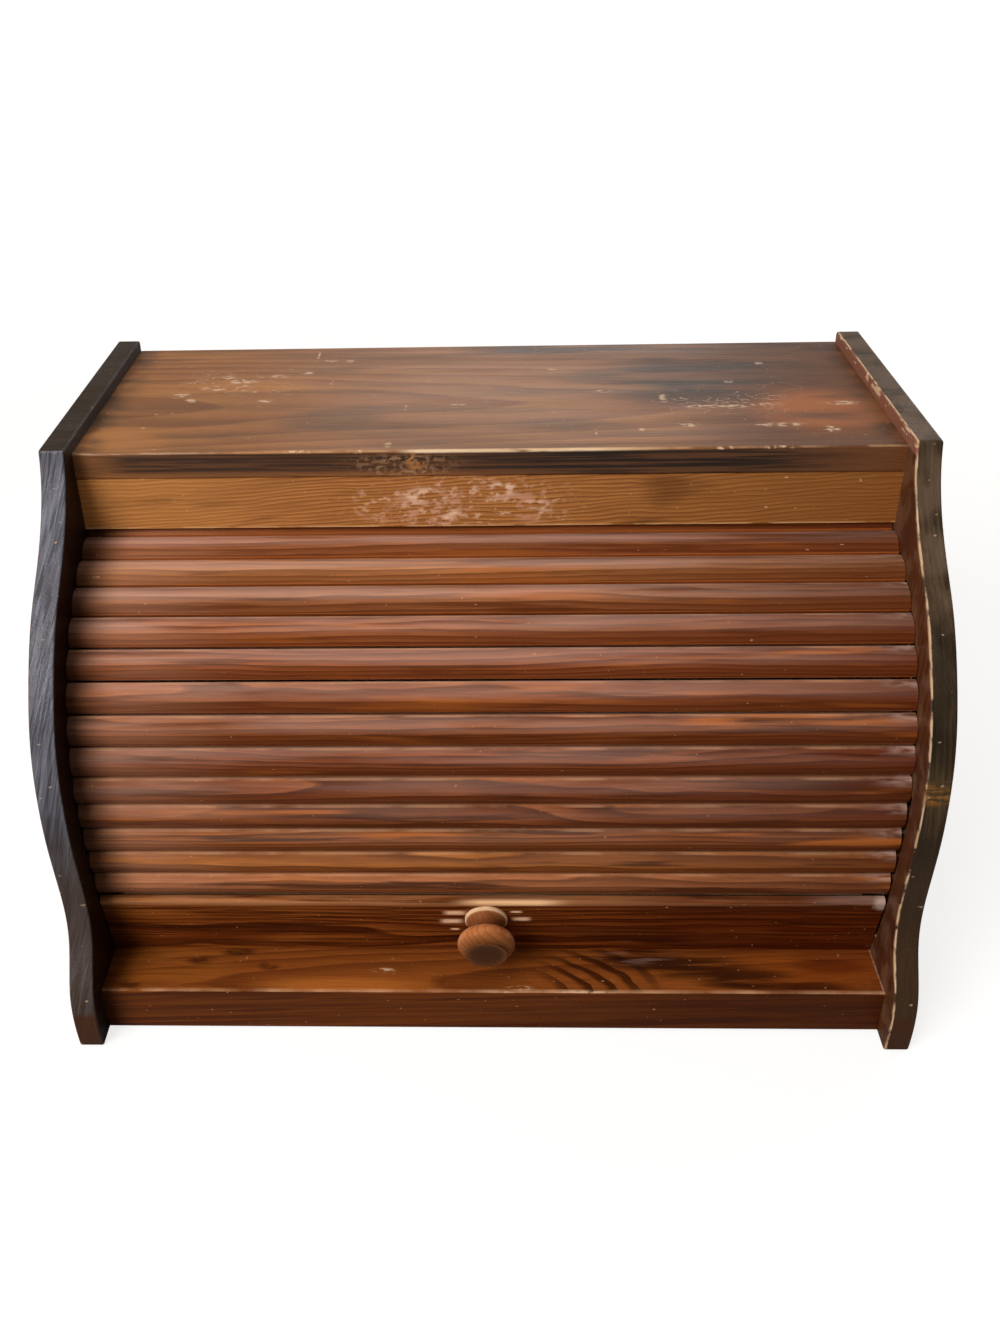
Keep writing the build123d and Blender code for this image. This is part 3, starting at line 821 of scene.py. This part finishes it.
# %% Steel
steel, tree = blank("aged_steel")
whole = add(tree, "ShaderNodeTexCoord", {}).outputs["Object"]
metal = {"tree": tree, "own": whole, "colour": linear("#8A8680")}
rust = patches(metal, (600, 600, 600), 0.5, 0.65)
paint(metal, "#5A3A26", 0.8, rust)
limits = {"Value": rust, "To Min": 0.38, "To Max": 0.8}
dull = add(tree, "ShaderNodeMapRange", limits).outputs["Result"]
relief = {"Height": rust, "Strength": 0.4, "Distance": 0.0001}
relief = add(tree, "ShaderNodeBump", relief).outputs["Normal"]
skin = {"Base Color": metal["colour"], "Metallic": 0.9, "Roughness": dull, "Normal": relief}
skin = add(tree, "ShaderNodeBsdfPrincipled", skin)
add(tree, "ShaderNodeOutputMaterial", {"Surface": skin.outputs[0]})
fasteners = [name for name in nodes if name.endswith(("nails", "screw"))]
for name in fasteners:
    nodes[name].material_slots[0].material = steel
print("steel on", fasteners)

# %% [markdown]
# The floor is one large pale sheet. It is mid grey to the light, so that it throws little back
# under the slats, and for the camera alone some white is added: the sheet shows white where
# nothing shades it, the soft shadow of the box stays, and further off it fades to pure white.

# %% Floor
bpy.ops.object.select_all(action="DESELECT")
bpy.ops.mesh.primitive_plane_add(size=8, location=(0, 0, 0))
floor = bpy.context.object
floor.name = "floor"


def seen_white(tree):
    """The light path node, and 1 where the camera looks, straight or through something clear."""
    path = add(tree, "ShaderNodeLightPath", {})
    rays = {0: path.outputs["Is Camera Ray"], 1: path.outputs["Is Transmission Ray"]}
    return path, add(tree, "ShaderNodeMath", rays, operation="MAXIMUM").outputs[0]


sheet, tree = blank("white_paper_sweep")
floor_place = {"tree": tree, "whole": add(tree, "ShaderNodeTexCoord", {}).outputs["Object"]}
here = spot(floor_place, (0, 0, 0), (2.2, 2.2, 2.2))
glow = {"Value": here, "To Min": 1.0, "To Max": 0.76}
glow = add(tree, "ShaderNodeMapRange", glow).outputs["Result"]
glow = {0: glow, 1: seen_white(tree)[1]}
glow = add(tree, "ShaderNodeMath", glow, operation="MULTIPLY").outputs[0]
white = add(tree, "ShaderNodeEmission", {"Color": (1, 1, 1, 1), "Strength": glow}).outputs[0]
paper = add(tree, "ShaderNodeBsdfDiffuse", {"Color": linear("#9A9894")}).outputs[0]
both = add(tree, "ShaderNodeAddShader", {0: paper, 1: white}).outputs[0]
add(tree, "ShaderNodeOutputMaterial", {"Surface": both})
floor.data.materials.append(sheet)
print("floor", floor.name)

# %% [markdown]
# The world is a plain soft light. The camera sees it as white, and so does anything clear. In
# the varnish the white shows only straight behind the box, as a window there would: that
# reflection lies as a pale sheen about the middle of the top board.

# %% World
world = bpy.data.worlds.new("pale_room")
bpy.context.scene.world = world
world.use_nodes = True
tree = world.node_tree
tree.nodes.clear()
sky = {"tree": tree, "whole": add(tree, "ShaderNodeTexCoord", {}).outputs["Generated"]}
path, clear = seen_white(tree)
shine = path.outputs["Is Glossy Ray"]
for axis, start, end in (X, -0.18, -0.08), (X, 0.24, 0.14), (Y, 0.2, 0.4), (Z, 0.0, 0.1):
    shine = {0: shine, 1: beyond(sky, axis, start, end)}
    shine = add(tree, "ShaderNodeMath", shine, operation="MULTIPLY").outputs[0]
seen = add(tree, "ShaderNodeMath", {0: clear, 1: shine}, operation="MAXIMUM").outputs[0]
soft = {"Color": linear("#F2F0EC"), "Strength": 0.25}
soft = add(tree, "ShaderNodeBackground", soft).outputs[0]
white = {"Color": (1, 1, 1, 1), "Strength": 1.0}
white = add(tree, "ShaderNodeBackground", white).outputs[0]
both = add(tree, "ShaderNodeMixShader", {0: seen, 1: soft, 2: white}).outputs[0]
add(tree, "ShaderNodeOutputWorld", {"Surface": both})
print("world", world.name)

# %% [markdown]
# A wide soft lamp stands high in front and to the left. It lights the upper part of each slat and
# leaves the lower part dark, deepened by the painted shade on the lower halves, and its reflection
# adds to the painted milky sheen of the beads. A smaller one above fills the top, and a cool one
# far to the left adds a bluish shine to the left edge over its painted grey blue reflection.
# The last one stands low behind on the right, where a pale wall would throw light back, so
# that the right side and the back aren't seen in the dark.

# %% Lamps


def lamp(name, place, target, size, power, colour="#FFFDFB"):
    """A soft square lamp at a place, turned to shine at the target."""
    light = bpy.data.lights.new(name, "AREA")
    light.size, light.energy, light.color = size, power, linear(colour)[:3]
    holder = bpy.data.objects.new(name, light)
    bpy.context.collection.objects.link(holder)
    holder.location = place
    holder.rotation_euler = (Vector(target) - Vector(place)).to_track_quat("-Z", "Y").to_euler()
    print(name, power, "W")


lamp("front_window", (-1.45, -1.7, 1.7), (0, 0, 0.15), 1.4, 62)
lamp("ceiling_light", (-0.3, -0.2, 2.1), (0, 0, 0.2), 0.9, 7)
lamp("left_window", (-1.6, -0.9, 0.5), (-0.2, 0, 0.15), 0.5, 3, "#DCE6FF")
lamp("far_wall", (2.0, 1.7, 0.9), (0, 0.05, 0.15), 1.6, 34)

# %% [markdown]
# The camera stands a little above the box, close to it and at its middle, and looks down by
# about 30 degrees. The picture is 1000 by 1333 pixels. The lens is as long as 1248.3 of them,
# and the line of sight passes through pixel 444.9, 582, so a small shift moves the picture.

# %% Camera
picture_width, picture_height = 1000, 1333
sight_x, sight_y, lens_in_pixels = 444.9, 582, 1248.3
yaw, pitch, roll = -0.0399, 0.5302, -0.0271
ahead = Vector((sin(yaw) * cos(pitch), cos(yaw) * cos(pitch), -sin(pitch)))
level = Vector((cos(yaw), -sin(yaw), 0))
upright = level.cross(ahead)
to_right = level * cos(roll) + upright * sin(roll)
to_top = upright * cos(roll) - level * sin(roll)
turned = Matrix((to_right, to_top, -ahead)).transposed().to_4x4()
eye = bpy.data.cameras.new("camera")
eye.sensor_width = 36
eye.lens = lens_in_pixels * eye.sensor_width / picture_height
eye.shift_x = (picture_width / 2 - sight_x) / picture_height
eye.shift_y = (sight_y - picture_height / 2) / picture_height
camera = bpy.data.objects.new("camera", eye)
camera.matrix_world = Matrix.Translation((0.00087, -0.63105, 0.5979)) @ turned
bpy.context.collection.objects.link(camera)
bpy.context.scene.camera = camera
bpy.context.scene.view_settings.view_transform = "Standard"
print("lens", round(eye.lens, 2), "mm")
